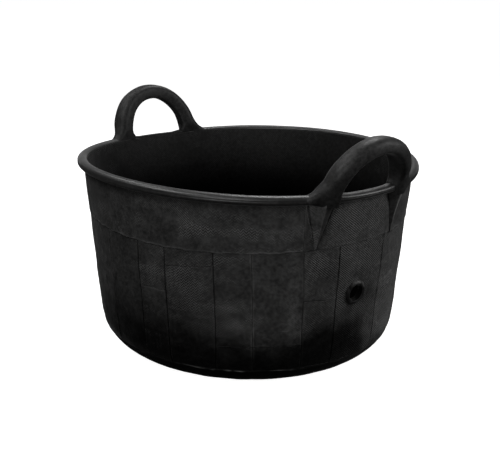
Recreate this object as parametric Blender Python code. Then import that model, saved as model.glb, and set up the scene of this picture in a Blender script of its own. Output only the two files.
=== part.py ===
"""Two handled mixing tub laid up from rubberised cord plies.

Frame: metres, +Z up, origin at the middle of the flat underside, the two
handles on +X and -X, the drain hole in the wall under the +X handle.
Every ply is an offset band of one outer profile, carried onto the slightly
oval, slightly saddle shaped tub by one shared map, so that neighbouring
plies keep an even clearance all the way round.
"""
import math

import bmesh
import bpy
from mathutils import Matrix, Vector

# ---------------------------------------------------------------- dimensions
H = 0.287            # rim crest above the floor
RT = 0.2498          # outer wall radius at height ZT
ZT = 0.2769
DRAFT = math.radians(5.08)
RC = 0.0546          # outer corner radius between wall and base
OVAL_BASE = 0.0237   # ovalness of the base, longer along X
OVAL_RIM = 0.045     # ovalness of the rim
SADDLE = 0.0039      # the rim is this much lower at the handles, higher between
GAP = 0.0003         # clearance left between neighbouring pieces

D_SKIN = 0.0         # depths of the ply faces under the outer surface
D_SKIN_IN = 0.0027
D_LINER = 0.0030
D_LINER_IN = 0.0055
D_DISC = 0.0058
D_DISC_IN = 0.0085
D_BAND = -0.0008     # the upper band stands proud by this much
BASE_TOP = 0.0313    # height where the base cap ends on the corner
BAND_LOW = 0.2075    # lower edge of the upper band
WALL_TOP = H - 0.0035
DISC_R = 0.158

HOLE_Z = 0.1351      # drain hole, straight below the +X handle
HOLE_R = 0.01125
SLEEVE_R = 0.0140
FLANGE_R = 0.0170
FLANGE_H = 0.0055
CUT_R = 0.0144

LOOP_S = 0.0614      # half width of the handle loop at the rim, on centre
LOOP_H = 0.0690      # height of the loop's centre above its foot line
LOOP_P = 1.95        # superellipse power of the loop
BALL_X = 0.0075      # hinge line, this far outside the wall's outer face
LEAN = 0.0125        # outward lean of the loop's top over its legs
BALL_R = 0.0115      # rounded leg end that sits in the foot's hollow
BALL_H = 0.0160      # hinge height above the rim crest
BORE_R = 0.0044      # channel for the rope core
CORE_R = 0.0041
RING_R = 0.2532      # mean radius of the bead, used to turn lengths to angles

SEG = 60
STEP = 2 * math.pi / SEG

# ------------------------------------------------------------------ profile
RCX = RT - math.tan(DRAFT) * (ZT - RC) - RC / math.cos(DRAFT)
A_TOP = -DRAFT
A_BASE = math.asin((BASE_TOP - RC) / RC)


def warp(t, r, z):
    k = min(max(z / H, 0.0), 1.0)
    rr = r * (1.0 + (OVAL_BASE + (OVAL_RIM - OVAL_BASE) * k) * math.cos(2 * t))
    return Vector((rr * math.cos(t), rr * math.sin(t),
                   z - SADDLE * k * k * math.cos(2 * t)))


def at(t, r, z):
    """A point of the tub, straight between the shared angular stations."""
    i = math.floor(t / STEP + 1e-9)
    f = t / STEP - i
    if abs(f) < 1e-6:
        return warp(i * STEP, r, z)
    return warp(i * STEP, r, z).lerp(warp((i + 1) * STEP, r, z), f)


def arc(ang, d):
    return (RCX + (RC - d) * math.cos(ang), RC + (RC - d) * math.sin(ang))


def wall(z, d):
    r = RT - math.tan(DRAFT) * (ZT - z)
    return (r - d * math.cos(DRAFT), z + d * math.sin(DRAFT))


def row(q, d):
    kind, v = q
    if kind == "f":
        return (v, d)
    if kind == "a":
        return arc(v, d)
    if kind == "h":              # level top edge at the same height for all d
        r = RT - math.tan(DRAFT) * (ZT - v)
        return (r - d / math.cos(DRAFT), v)
    return wall(v, d)


def q_of(z):
    """Profile station at the height z of the outer surface."""
    z_t = RC + RC * math.sin(A_TOP)
    if z >= z_t:
        return ("w", z)
    return ("a", math.asin((z - RC) / RC))


def angles(t0, t1):
    out = [t0]
    i = math.floor(t0 / STEP + 1e-6) + 1
    while i * STEP < t1 - 1e-4:
        if i * STEP - out[-1] > 0.004:
            out.append(i * STEP)
        i += 1
    if t1 - out[-1] < 0.004:
        out.pop()
    out.append(t1)
    return out


# ---------------------------------------------------------------- utilities
def clear():
    for ob in list(bpy.data.objects):
        bpy.data.objects.remove(ob, do_unlink=True)


def material(name, rgb, rough):
    mat = bpy.data.materials.new(name)
    mat.use_nodes = True
    bsdf = mat.node_tree.nodes["Principled BSDF"]
    bsdf.inputs["Base Color"].default_value = (*rgb, 1.0)
    bsdf.inputs["Roughness"].default_value = rough
    mat.diffuse_color = (*rgb, 1.0)
    return mat


def finish(name, bm, rgb, rough=0.6, smooth=True, merge=1e-6):
    bmesh.ops.remove_doubles(bm, verts=bm.verts, dist=merge)
    bmesh.ops.triangulate(bm, faces=bm.faces)
    bmesh.ops.recalc_face_normals(bm, faces=bm.faces)
    if bm.calc_volume(signed=True) < 0:
        bmesh.ops.reverse_faces(bm, faces=bm.faces)
    me = bpy.data.meshes.new(name)
    bm.to_mesh(me)
    bm.free()
    for p in me.polygons:
        p.use_smooth = smooth
    ob = bpy.data.objects.new(name, me)
    bpy.context.scene.collection.objects.link(ob)
    me.materials.append(material(name, rgb, rough))
    return ob


def cut(ob, cutter):
    cutter.hide_render = True
    cutter.display_type = "WIRE"
    mod = ob.modifiers.new("cut", "BOOLEAN")
    mod.operation = "DIFFERENCE"
    mod.solver = "EXACT"
    mod.object = cutter
    dg = bpy.context.evaluated_depsgraph_get()
    me = bpy.data.meshes.new_from_object(ob.evaluated_get(dg))
    ob.modifiers.clear()
    old = ob.data
    ob.data = me
    me.name = old.name + "_cut"
    bpy.data.meshes.remove(old)
    bpy.data.objects.remove(cutter, do_unlink=True)
    bm = bmesh.new()
    bm.from_mesh(me)
    bmesh.ops.remove_doubles(bm, verts=bm.verts, dist=1e-6)
    bmesh.ops.dissolve_degenerate(bm, edges=bm.edges, dist=1e-6)
    bmesh.ops.triangulate(bm, faces=bm.faces)
    bmesh.ops.recalc_face_normals(bm, faces=bm.faces)
    bm.to_mesh(me)
    bm.free()


def grid(bm, pts, close_u=False, close_v=False):
    """pts[u][v] vectors -> faces; returns the vertex table."""
    vs = [[bm.verts.new(p) for p in line] for line in pts]
    nu, nv = len(vs), len(vs[0])
    for u in range(nu if close_u else nu - 1):
        for v in range(nv if close_v else nv - 1):
            a, b = vs[u], vs[(u + 1) % nu]
            bm.faces.new((a[v], b[v], b[(v + 1) % nv], a[(v + 1) % nv]))
    return vs


def ring_solid(name, section, rgb, rough=0.6):
    """Closed ring swept from a section of (radius, height) points."""
    bm = bmesh.new()
    pts = [[warp(i * STEP, r, z) for r, z in section] for i in range(SEG)]
    grid(bm, pts, True, True)
    return finish(name, bm, rgb, rough)


def shell_ring(name, rows, d0, d1, rgb, pole=True):
    """Full ring of ply; with pole it is closed across the middle."""
    bm = bmesh.new()
    faces = []
    for d in (d0, d1):
        pts = [[warp(i * STEP, *row(q, d)) for q in rows] for i in range(SEG)]
        vs = grid(bm, pts, True, False)
        if pole:
            c = bm.verts.new(Vector((0, 0, row(rows[0], d)[1])))
            for i in range(SEG):
                bm.faces.new((c, vs[i][0], vs[(i + 1) % SEG][0]))
        faces.append(vs)
    ends = [-1] if pole else [0, -1]
    for e in ends:
        for i in range(SEG):
            j = (i + 1) % SEG
            bm.faces.new((faces[0][i][e], faces[0][j][e],
                          faces[1][j][e], faces[1][i][e]))
    return finish(name, bm, rgb)


def shell_patch(name, rows, d0, d1, t0, t1, rgb, side=0.0):
    """Ply panel between two angles; side is the clearance at each edge."""
    bm = bmesh.new()
    e = side / RING_R
    cols = angles(t0 + e, t1 - e)
    tabs = []
    for d in (d0, d1):
        tabs.append(grid(bm, [[at(t, *row(q, d)) for q in rows] for t in cols]))
    a, b = tabs
    nu, nv = len(a), len(a[0])
    for v in range(nv - 1):
        for u in (0, nu - 1):
            bm.faces.new((a[u][v], a[u][v + 1], b[u][v + 1], b[u][v]))
    for u in range(nu - 1):
        for v in (0, nv - 1):
            bm.faces.new((a[u][v], a[u + 1][v], b[u + 1][v], b[u][v]))
    return finish(name, bm, rgb)


def frame_at(t, z):
    """Outer surface point and outward normal at angle t and height z."""
    p = at(t, *wall(z, 0.0))
    up = (at(t, *wall(z + 0.01, 0.0)) - at(t, *wall(z - 0.01, 0.0))).normalized()
    side = (warp(t + 0.02, *wall(z, 0.0)) - warp(t - 0.02, *wall(z, 0.0))).normalized()
    n = side.cross(up).normalized()
    return p, n, side, up


def cylinder(p, axis, r, a0, a1, seg=24):
    bm = bmesh.new()
    side = Vector((0, 0, 1)).cross(axis)
    if side.length < 1e-6:
        side = Vector((1, 0, 0))
    side.normalize()
    up = axis.cross(side).normalized()
    pts = [[p + axis * a + (side * math.cos(k) + up * math.sin(k)) * r
            for k in (2 * math.pi * j / seg for j in range(seg))] for a in (a0, a1)]
    vs = grid(bm, pts, False, True)
    bm.faces.new(vs[0][::-1])
    bm.faces.new(vs[1])
    return finish("cutter", bm, (0.5, 0.5, 0.5))


# -------------------------------------------------------------------- build
clear()
BLACK = (0.022, 0.022, 0.023)
PLY = (0.030, 0.030, 0.031)
CORD = (0.42, 0.38, 0.30)
STEEL = (0.35, 0.33, 0.31)
R = math.radians

arc_rows = [("a", A_TOP + (-math.pi / 2 - A_TOP) * k / 6) for k in range(6, -1, -1)]
wall_rows = [("w", 0.13), ("w", BAND_LOW), ("h", WALL_TOP)]

# inner liner: floor and wall in one ply, with the drain hole through it
liner = shell_ring("inner_liner", arc_rows + wall_rows, D_LINER, D_LINER_IN, PLY)
p, n, side, up = frame_at(0.0, HOLE_Z)
cut(liner, cylinder(p, n, CUT_R, -0.03, 0.03))

# reinforcing disc laid on the inner floor
bm = bmesh.new()
tops = []
for d, r in ((D_DISC, DISC_R), (D_DISC + 0.0012, DISC_R), (D_DISC_IN, DISC_R - 0.003)):
    tops.append([bm.verts.new(warp(i * STEP, r, d)) for i in range(SEG)])
for a, b in ((0, 1), (1, 2)):
    for i in range(SEG):
        j = (i + 1) % SEG
        bm.faces.new((tops[a][i], tops[a][j], tops[b][j], tops[b][i]))
for ring, z in ((tops[0], D_DISC), (tops[2], D_DISC_IN)):
    c = bm.verts.new(Vector((0, 0, z)))
    for i in range(SEG):
        bm.faces.new((c, ring[i], ring[(i + 1) % SEG]))
finish("floor_disc", bm, PLY)

# base cap: outer bottom ply turned up over the corner
base_rows = [q for q in arc_rows if q[1] < A_BASE - 0.05] + [("a", A_BASE)]
shell_ring("base_cap", base_rows, D_SKIN, D_SKIN_IN, BLACK)

# outer wall panels: (name, start angle, end angle, low z, high z), degrees
COLS = [-93.0, -76.0, -64.7, -47.4, -35.2, -19.0, -7.4, 12.0, 31.0, 52.0, 74.0,
        96.0, 117.0, 138.0, 158.0, 177.0, 196.0, 214.0, 231.0, 249.0, 267.0]
SPLITS = {1: 0.140, 2: 0.181, 3: 0.069, 4: 0.0695, 5: 0.133, 9: 0.152, 13: 0.096,
          17: 0.165}
skin_rows_arc = [q for q in arc_rows if q[1] > A_BASE + 0.05]
G = GAP / 2 + 0.00005


def panel_rows(z0, z1):
    rows = [q_of(z0)]
    for q in skin_rows_arc:
        z = arc(q[1], 0.0)[1]
        if z0 + 0.004 < z < z1 - 0.004:
            rows.append(q)
    if z0 < 0.126 < 0.134 < z1:
        rows.append(("w", 0.13))
    rows.append(q_of(z1))
    return rows


panels = []
for i in range(len(COLS) - 1):
    lo, hi = BASE_TOP + 2 * G, BAND_LOW - G
    cuts = [lo] + ([SPLITS[i]] if i in SPLITS else []) + [hi]
    for k in range(len(cuts) - 1):
        z0 = cuts[k] + (G if k else 0)
        z1 = cuts[k + 1] - (G if k < len(cuts) - 2 else 0)
        nm = "wall_panel_%02d" % (len(panels) + 1)
        ob = shell_patch(nm, panel_rows(z0, z1), D_SKIN, D_SKIN_IN,
                         R(COLS[i]), R(COLS[i + 1]), BLACK, side=G)
        panels.append(nm)
        if COLS[i] < 0 < COLS[i + 1]:
            p, n, side, up = frame_at(0.0, HOLE_Z)
            cut(ob, cylinder(p, n, CUT_R, -0.03, 0.03))

# upper band in four lengths
for k, (a, b) in enumerate(((-112.0, -20.2), (-20.2, 70.0), (70.0, 160.0), (160.0, 248.0))):
    shell_patch("upper_band_%d" % (k + 1), [("w", BAND_LOW + G), ("h", WALL_TOP)],
                D_BAND, D_SKIN_IN, R(a), R(b), BLACK, side=G)

# rim bead: a cap with a skirt, its slot open towards the wall
BEAD = [(-5.5, -3.2), (-5.5, -1.6), (-4.3, -0.4), (-1.5, 0.0), (4.2, -0.1),
        (7.4, -1.0), (9.0, -3.0), (9.0, -4.8), (8.2, -6.2), (8.9, -7.8),
        (9.8, -9.4), (9.0, -11.4), (6.4, -12.5), (2.6, -12.5), (1.1, -11.4),
        (1.1, -8.9), (5.4, -8.9), (5.4, -4.9), (1.1, -4.9), (1.1, -3.2)]


def rim_pt(x, zc):
    z = H + zc
    return (RT - math.tan(DRAFT) * (ZT - z) + x, z)


ring_solid("rim_bead", [rim_pt(x / 1000, z / 1000) for x, z in BEAD], BLACK)
HOOP = [(3.2 + 1.7 * math.cos(R(22.5 + 45 * k)), -6.9 + 1.7 * math.sin(R(22.5 + 45 * k)))
        for k in range(8)]
ring_solid("rim_hoop", [rim_pt(x / 1000, z / 1000) for x, z in HOOP], STEEL, 0.5)

# handle feet: saddles over the bead with a hollow for the leg's rounded end
FOOT = [(-5.2, 0.6), (4.4, 0.5), (7.8, -0.5), (9.7, -2.8), (9.7, -4.8),
        (10.5, -7.2), (10.5, -9.0), (12.5, -10.4), (15.0, -7.5), (16.6, -2.0),
        (17.4, 3.0), (16.6, 6.3), (-3.6, 6.3), (-5.7, 4.8), (-5.9, 2.4)]
FOOT_COLS = [(10.0, 1.0), (12.0, 1.0), (14.0, 1.0), (16.0, 0.92), (18.0, 0.45), (20.0, 0.12)]


def ball_centre(sx, sy):
    t = LOOP_FOOT_T * sy if sx > 0 else math.pi - LOOP_FOOT_T * sy
    r, z = rim_pt(BALL_X, 0.0)
    q = warp(t, r, H)
    return Vector((q.x, q.y, q.z + BALL_H))


h_foot = BALL_H + 0.0026
u_foot = math.asin((h_foot / LOOP_H) ** (LOOP_P / 2))
S_FOOT = LOOP_S * math.cos(u_foot) ** (2 / LOOP_P)
LOOP_FOOT_T = S_FOOT / RING_R

for side_name, sx in (("near", 1), ("far", -1)):
    for leg, sy in (("a", -1), ("b", 1)):
        bm = bmesh.new()
        tab = []
        for deg, f in FOOT_COLS:
            t = R(deg) * sy if sx > 0 else math.pi - R(deg) * sy
            line = []
            for x, z in FOOT:
                if z > 0.6:
                    z = 0.6 + (z - 0.6) * f
                if x > 10.5:
                    x = 10.5 + (x - 10.5) * f
                line.append(at(t, *rim_pt(x / 1000, z / 1000)))
            tab.append(line)
        vs = grid(bm, tab, False, True)
        bm.faces.new(vs[0])
        bm.faces.new(vs[-1])
        ob = finish("handle_foot_%s_%s" % (side_name, leg), bm, BLACK, smooth=False)
        c = ball_centre(sx, sy)
        cb = bmesh.new()
        bmesh.ops.create_uvsphere(cb, u_segments=24, v_segments=16, radius=BALL_R + GAP,
                                  matrix=Matrix.Translation(c))
        cut(ob, finish("cutter", cb, (0.5, 0.5, 0.5)))

# gussets under the bead below each foot
for side_name, sx in (("near", 1), ("far", -1)):
    for leg, sy in (("a", -1), ("b", 1)):
        bm = bmesh.new()
        t0 = R(15.1) * sy if sx > 0 else math.pi - R(15.1) * sy
        front, back = [], []
        for z, w, ridge, edge in ((H - 0.0135, 0.0165, 0.0120, 0.0012),
                                  (0.250, 0.0102, 0.0078, 0.0011),
                                  (0.2120, 0.0018, 0.0024, 0.0009)):
            fl, bl = [], []
            for c in (-1.0, -0.5, 0.0, 0.5, 1.0):
                t = t0 + c * w / RING_R
                r, zz = wall(z, 0.0)
                hgt = edge + (ridge - edge) * (1 - abs(c))
                off = 0.0008 + GAP
                fl.append(at(t, r + off + hgt, z))
                bl.append(at(t, r + off, z))
            front.append(fl)
            back.append(bl)
        a = grid(bm, front)
        b = grid(bm, back)
        for u in range(len(a) - 1):
            for v in (0, 4):
                bm.faces.new((a[u][v], a[u + 1][v], b[u + 1][v], b[u][v]))
        for v in range(4):
            for u in (0, len(a) - 1):
                bm.faces.new((a[u][v], a[u][v + 1], b[u][v + 1], b[u][v]))
        finish("gusset_%s_%s" % (side_name, leg), bm, BLACK, smooth=False)

# drain eyelet: flange outside, sleeve through the plies
p, n, side, up = frame_at(0.0, HOLE_Z)
EYE = [(HOLE_R, -0.0056), (SLEEVE_R, -0.0056), (SLEEVE_R, 0.0003), (FLANGE_R, 0.0003),
       (FLANGE_R, FLANGE_H - 0.0016), (FLANGE_R - 0.0016, FLANGE_H),
       (HOLE_R + 0.0014, FLANGE_H), (HOLE_R, FLANGE_H - 0.0014)]
bm = bmesh.new()
pts = []
for j in range(24):
    k = 2 * math.pi * j / 24
    pts.append([p + n * a + (side * math.cos(k) + up * math.sin(k)) * r for r, a in EYE])
grid(bm, pts, True, True)
finish("drain_eyelet", bm, BLACK)

# handle loops with their rope cores; origins on the hinge lines
for side_name, sx in (("near", 1), ("far", -1)):
    n_u, m = 18, 12
    cen = []
    for k in range(n_u + 1):
        u = u_foot + (math.pi - 2 * u_foot) * k / n_u
        cs = math.cos(u)
        s = LOOP_S * math.copysign(abs(cs) ** (2 / LOOP_P), cs)
        h = LOOP_H * math.sin(u) ** (2 / LOOP_P) - 0.0026
        hh = max(h - BALL_H, 0.0)
        r = rim_pt(BALL_X, 0.0)[0] + LEAN * (hh / 0.048)
        t = s / RING_R
        q = warp(t, r, H)
        cen.append((Vector((q.x * sx, q.y, q.z + h)), hh / 0.048))
    tang = []
    for k in range(n_u + 1):
        a, b = cen[max(k - 1, 0)][0], cen[min(k + 1, n_u)][0]
        tang.append((b - a).normalized())
    rings, bores, cores = [], [], []
    for k in range(n_u + 1):
        c, w = cen[k]
        T = tang[k]
        out = Vector((sx, 0, 0.0))
        B = (out - T * out.dot(T)).normalized()
        N = T.cross(B)
        e = min(1.0, w * 2.2)
        a = BALL_R + 0.0006 * math.sin(math.pi * min(1.0, w))
        b = BALL_R + (0.0156 - BALL_R) * e - 0.0008 * w
        def ringpts(ra, rb, cc=c, N=N, B=B):
            return [cc + N * (ra * math.cos(2 * math.pi * j / m))
                    + B * (rb * math.sin(2 * math.pi * j / m)) for j in range(m)]
        if k == 0:
            for lat in (60, 40, 20):
                la = R(lat)
                rings.append(ringpts(BALL_R * math.cos(la), BALL_R * math.cos(la),
                                     c - T * BALL_R * math.sin(la)))
            bores.append(ringpts(BORE_R, BORE_R, c - T * BALL_R * math.sin(R(60))))
            cores.append(ringpts(CORE_R, CORE_R, c - T * (BALL_R * math.sin(R(60)) - 0.0006)))
        rings.append(ringpts(a, b))
        bores.append(ringpts(BORE_R, BORE_R))
        cores.append(ringpts(CORE_R, CORE_R))
        if k == n_u:
            for lat in (20, 40, 60):
                la = R(lat)
                rings.append(ringpts(BALL_R * math.cos(la), BALL_R * math.cos(la),
                                     c + T * BALL_R * math.sin(la)))
            bores.append(ringpts(BORE_R, BORE_R, c + T * BALL_R * math.sin(R(60))))
            cores.append(ringpts(CORE_R, CORE_R, c + T * (BALL_R * math.sin(R(60)) - 0.0006)))
    pivot = (cen[0][0] + cen[-1][0]) / 2
    bm = bmesh.new()
    vo = grid(bm, rings, False, True)
    vi = grid(bm, bores, False, True)
    for o, i in ((vo[0], vi[0]), (vo[-1], vi[-1])):
        for j in range(m):
            bm.faces.new((o[j], o[(j + 1) % m], i[(j + 1) % m], i[j]))
    bmesh.ops.translate(bm, verts=bm.verts, vec=-pivot)
    ob = finish("handle_loop_%s" % side_name, bm, BLACK)
    ob.location = pivot
    bm = bmesh.new()
    vc = grid(bm, cores, False, True)
    bm.faces.new(vc[0])
    bm.faces.new(vc[-1])
    bmesh.ops.translate(bm, verts=bm.verts, vec=-pivot)
    ob = finish("handle_core_%s" % side_name, bm, CORD, 0.9)
    ob.location = pivot
bpy.context.view_layer.update()
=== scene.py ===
import math

import bmesh
import bpy
import numpy as np
from mathutils import Matrix, Vector


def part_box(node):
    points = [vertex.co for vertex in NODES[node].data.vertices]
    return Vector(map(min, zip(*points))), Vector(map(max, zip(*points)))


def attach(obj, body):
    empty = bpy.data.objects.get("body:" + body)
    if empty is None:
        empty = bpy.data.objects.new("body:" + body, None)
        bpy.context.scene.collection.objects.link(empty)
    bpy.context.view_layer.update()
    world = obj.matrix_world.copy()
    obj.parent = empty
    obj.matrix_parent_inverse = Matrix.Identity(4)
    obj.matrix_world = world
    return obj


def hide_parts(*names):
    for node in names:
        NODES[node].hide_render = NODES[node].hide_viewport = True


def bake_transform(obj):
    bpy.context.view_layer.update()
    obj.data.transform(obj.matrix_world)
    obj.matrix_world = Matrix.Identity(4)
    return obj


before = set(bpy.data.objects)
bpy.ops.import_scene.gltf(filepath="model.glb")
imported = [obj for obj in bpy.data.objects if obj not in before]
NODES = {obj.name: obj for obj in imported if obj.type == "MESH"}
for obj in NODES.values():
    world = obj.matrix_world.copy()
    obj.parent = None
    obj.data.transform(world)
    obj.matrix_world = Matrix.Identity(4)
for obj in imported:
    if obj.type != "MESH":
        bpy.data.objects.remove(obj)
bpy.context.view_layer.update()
scene = bpy.context.scene

# --------------------------------------------------------------- the tub's map
H = 0.287
RT, ZT = 0.2498, 0.2769
DR = math.radians(5.08)
RC = 0.0546
E0, E1 = 0.0237, 0.045
SAD = 0.0039
RB = 0.2532
TD = math.tan(DR)
RCX = RT - TD * (ZT - RC) - RC / math.cos(DR)
L_ARC = RC * (math.pi / 2 - DR)
Z_T = RC - RC * math.sin(DR)
R_T = RCX + RC * math.cos(DR)
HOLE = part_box("drain_eyelet")
HOLE_Z = 0.1351


def warp(t, r, z):
    t, r, z = np.broadcast_arrays(np.asarray(t, float), np.asarray(r, float), np.asarray(z, float))
    k = np.clip(z / H, 0, 1)
    c2 = np.cos(2 * t)
    rr = r * (1 + (E0 + (E1 - E0) * k) * c2)
    return np.stack([rr * np.cos(t), rr * np.sin(t), z - SAD * k * k * c2], -1)


def prof(s, d=0.0):
    """Outer profile by arc length s from the edge of the flat base, moved out by d."""
    s, d = np.broadcast_arrays(np.asarray(s, float), np.asarray(d, float))
    ang = np.clip(-math.pi / 2 + s / RC, -math.pi / 2, -DR)
    r = RCX + RC * np.cos(ang)
    z = RC + RC * np.sin(ang)
    nr, nz = np.cos(ang), np.sin(ang)
    ex = np.where(s > L_ARC, s - L_ARC, 0.0)
    r = r + ex * math.sin(DR) + np.where(s < 0, s, 0.0)
    z = z + ex * math.cos(DR)
    return r + nr * d, z + nz * d


def s_of_z(z):
    z = np.asarray(z, float)
    a = np.arcsin(np.clip((z - RC) / RC, -1, 1))
    return np.where(z > Z_T, L_ARC + (z - Z_T) / math.cos(DR), RC * (a + math.pi / 2))


def skin_pt(t, s, d):
    r, z = prof(s, d)
    return warp(t, r, z)


def sst(x, a, b):
    u = np.clip((x - a) / (b - a), 0, 1)
    return u * u * (3 - 2 * u)


def waves(P, seed, size, octaves=3, per=6):
    """Smooth seeded noise, about -1..1, made of sines; size is the largest wavelength."""
    rs = np.random.RandomState(seed)
    out = np.zeros(P.shape[:-1])
    amp, tot = 1.0, 0.0
    for o in range(octaves):
        for i in range(per):
            k = rs.normal(size=3)
            k /= np.linalg.norm(k)
            w = 2 * math.pi / size * rs.uniform(0.7, 1.5)
            out += amp * np.sin(P @ (k * w) + rs.uniform(0, 6.28))
        tot += amp * math.sqrt(per) * 1.2
        size /= 2.1
        amp *= 0.55
    return out / tot


# ------------------------------------------------------------------- meshing
def volume(V, Q):
    a, b, c = V[Q[:, 0]], V[Q[:, 1]], V[Q[:, 2]]
    v = np.einsum("ij,ij->i", a, np.cross(b, c)).sum()
    if Q.shape[1] == 4:
        d = V[Q[:, 3]]
        v += np.einsum("ij,ij->i", a, np.cross(c, d)).sum()
    return v


def make(name, V, quads, mat, tris=None, uvw=None, smooth=True, shade=None, weave=None):
    V = np.asarray(V, float)
    Q = np.asarray(quads, int).reshape(-1, 4)
    T = np.asarray(tris, int).reshape(-1, 3) if tris is not None and len(tris) else np.zeros((0, 3), int)
    vol = volume(V, Q) + (volume(V, T) if len(T) else 0)
    if vol < 0:
        Q, T = Q[:, ::-1], T[:, ::-1]
    me = bpy.data.meshes.new(name)
    me.from_pydata(V.tolist(), [], Q.tolist() + T.tolist())
    me.polygons.foreach_set("use_smooth", [smooth] * len(me.polygons))
    if uvw is not None:
        at = me.attributes.new("uvw", "FLOAT_VECTOR", "POINT")
        at.data.foreach_set("vector", np.asarray(uvw, np.float32).ravel())
    if shade is not None:
        at = me.attributes.new("shade", "FLOAT", "POINT")
        at.data.foreach_set("value", np.asarray(shade, np.float32).ravel())
    if weave is not None:
        at = me.attributes.new("weave", "FLOAT", "POINT")
        at.data.foreach_set("value", np.asarray(weave, np.float32).ravel())
    me.materials.append(mat)
    me.update()
    ob = bpy.data.objects.new(name, me)
    scene.collection.objects.link(ob)
    return ob


def grid_quads(nu, nv, wrap_u=False, wrap_v=False, off=0):
    u = np.arange(nu if wrap_u else nu - 1)
    v = np.arange(nv if wrap_v else nv - 1)
    U, W = np.meshgrid(u, v, indexing="ij")
    U2, W2 = (U + 1) % nu, (W + 1) % nv
    return (off + np.stack([U * nv + W, U2 * nv + W, U2 * nv + W2, U * nv + W2], -1)).reshape(-1, 4)


def closed_pair(F, B):
    """Quads of a closed slab from a front and a back grid of the same shape."""
    nu, nv = F.shape[:2]
    n = nu * nv
    q = [grid_quads(nu, nv), grid_quads(nu, nv, off=n)[:, ::-1]]
    i = np.arange(nu)
    j = np.arange(nv)
    for e, flip in ((i * nv, True), (i * nv + nv - 1, False)):
        k = np.stack([e[:-1], e[1:], e[1:] + n, e[:-1] + n], -1)
        q.append(k[:, ::-1] if not flip else k)
    for e, flip in ((j, False), ((nu - 1) * nv + j, True)):
        k = np.stack([e[:-1], e[1:], e[1:] + n, e[:-1] + n], -1)
        q.append(k[:, ::-1] if not flip else k)
    V = np.concatenate([F.reshape(-1, 3), B.reshape(-1, 3)])
    Q = np.concatenate(q)
    return V, Q


def recalc(ob):
    bm = bmesh.new()
    bm.from_mesh(ob.data)
    bmesh.ops.recalc_face_normals(bm, faces=bm.faces)
    if bm.calc_volume(signed=True) < 0:
        bmesh.ops.reverse_faces(bm, faces=bm.faces)
    bm.to_mesh(ob.data)
    bm.free()


# ----------------------------------------------------------------- materials
def links(mat):
    return mat.node_tree.links


class Build:
    """Small helper that adds and joins shader nodes."""

    def __init__(self, name):
        self.mat = bpy.data.materials.new(name)
        self.mat.use_nodes = True
        self.nt = self.mat.node_tree
        self.bsdf = self.nt.nodes["Principled BSDF"]
        self.tc = self.nt.nodes.new("ShaderNodeTexCoord")

    def node(self, kind, **props):
        n = self.nt.nodes.new(kind)
        for k, v in props.items():
            setattr(n, k, v)
        return n

    def put(self, socket, value):
        if isinstance(value, bpy.types.NodeSocket):
            self.nt.links.new(value, socket)
        else:
            socket.default_value = value

    def math(self, op, a, b=0.0, c=0.0, clamp=False):
        n = self.node("ShaderNodeMath", operation=op, use_clamp=clamp)
        for i, v in enumerate((a, b, c)):
            self.put(n.inputs[i], v)
        return n.outputs[0]

    def noise(self, scale, detail=4.0, rough=0.55, vec=None, dist=0.0):
        n = self.node("ShaderNodeTexNoise")
        self.put(n.inputs["Vector"], vec or self.tc.outputs["Object"])
        n.inputs["Scale"].default_value = scale
        n.inputs["Detail"].default_value = detail
        n.inputs["Roughness"].default_value = rough
        n.inputs["Distortion"].default_value = dist
        return n.outputs["Fac"]

    def ramp(self, fac, lo, hi, out0=0.0, out1=1.0, smooth=True):
        n = self.node("ShaderNodeMapRange")
        n.interpolation_type = "SMOOTHSTEP" if smooth else "LINEAR"
        self.put(n.inputs["Value"], fac)
        for k, v in (("From Min", lo), ("From Max", hi), ("To Min", out0), ("To Max", out1)):
            n.inputs[k].default_value = v
        return n.outputs["Result"]

    def mix(self, fac, a, b):
        n = self.node("ShaderNodeMix", data_type="RGBA")
        self.put(n.inputs[0], fac)
        for i, v in ((6, a), (7, b)):
            self.put(n.inputs[i], v if isinstance(v, bpy.types.NodeSocket) else (*v, 1.0))
        return n.outputs[2]

    def bump(self, height, strength, distance, normal=None):
        n = self.node("ShaderNodeBump")
        n.inputs["Strength"].default_value = strength
        n.inputs["Distance"].default_value = distance
        self.put(n.inputs["Height"], height)
        if normal is not None:
            self.put(n.inputs["Normal"], normal)
        return n.outputs["Normal"]


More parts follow.
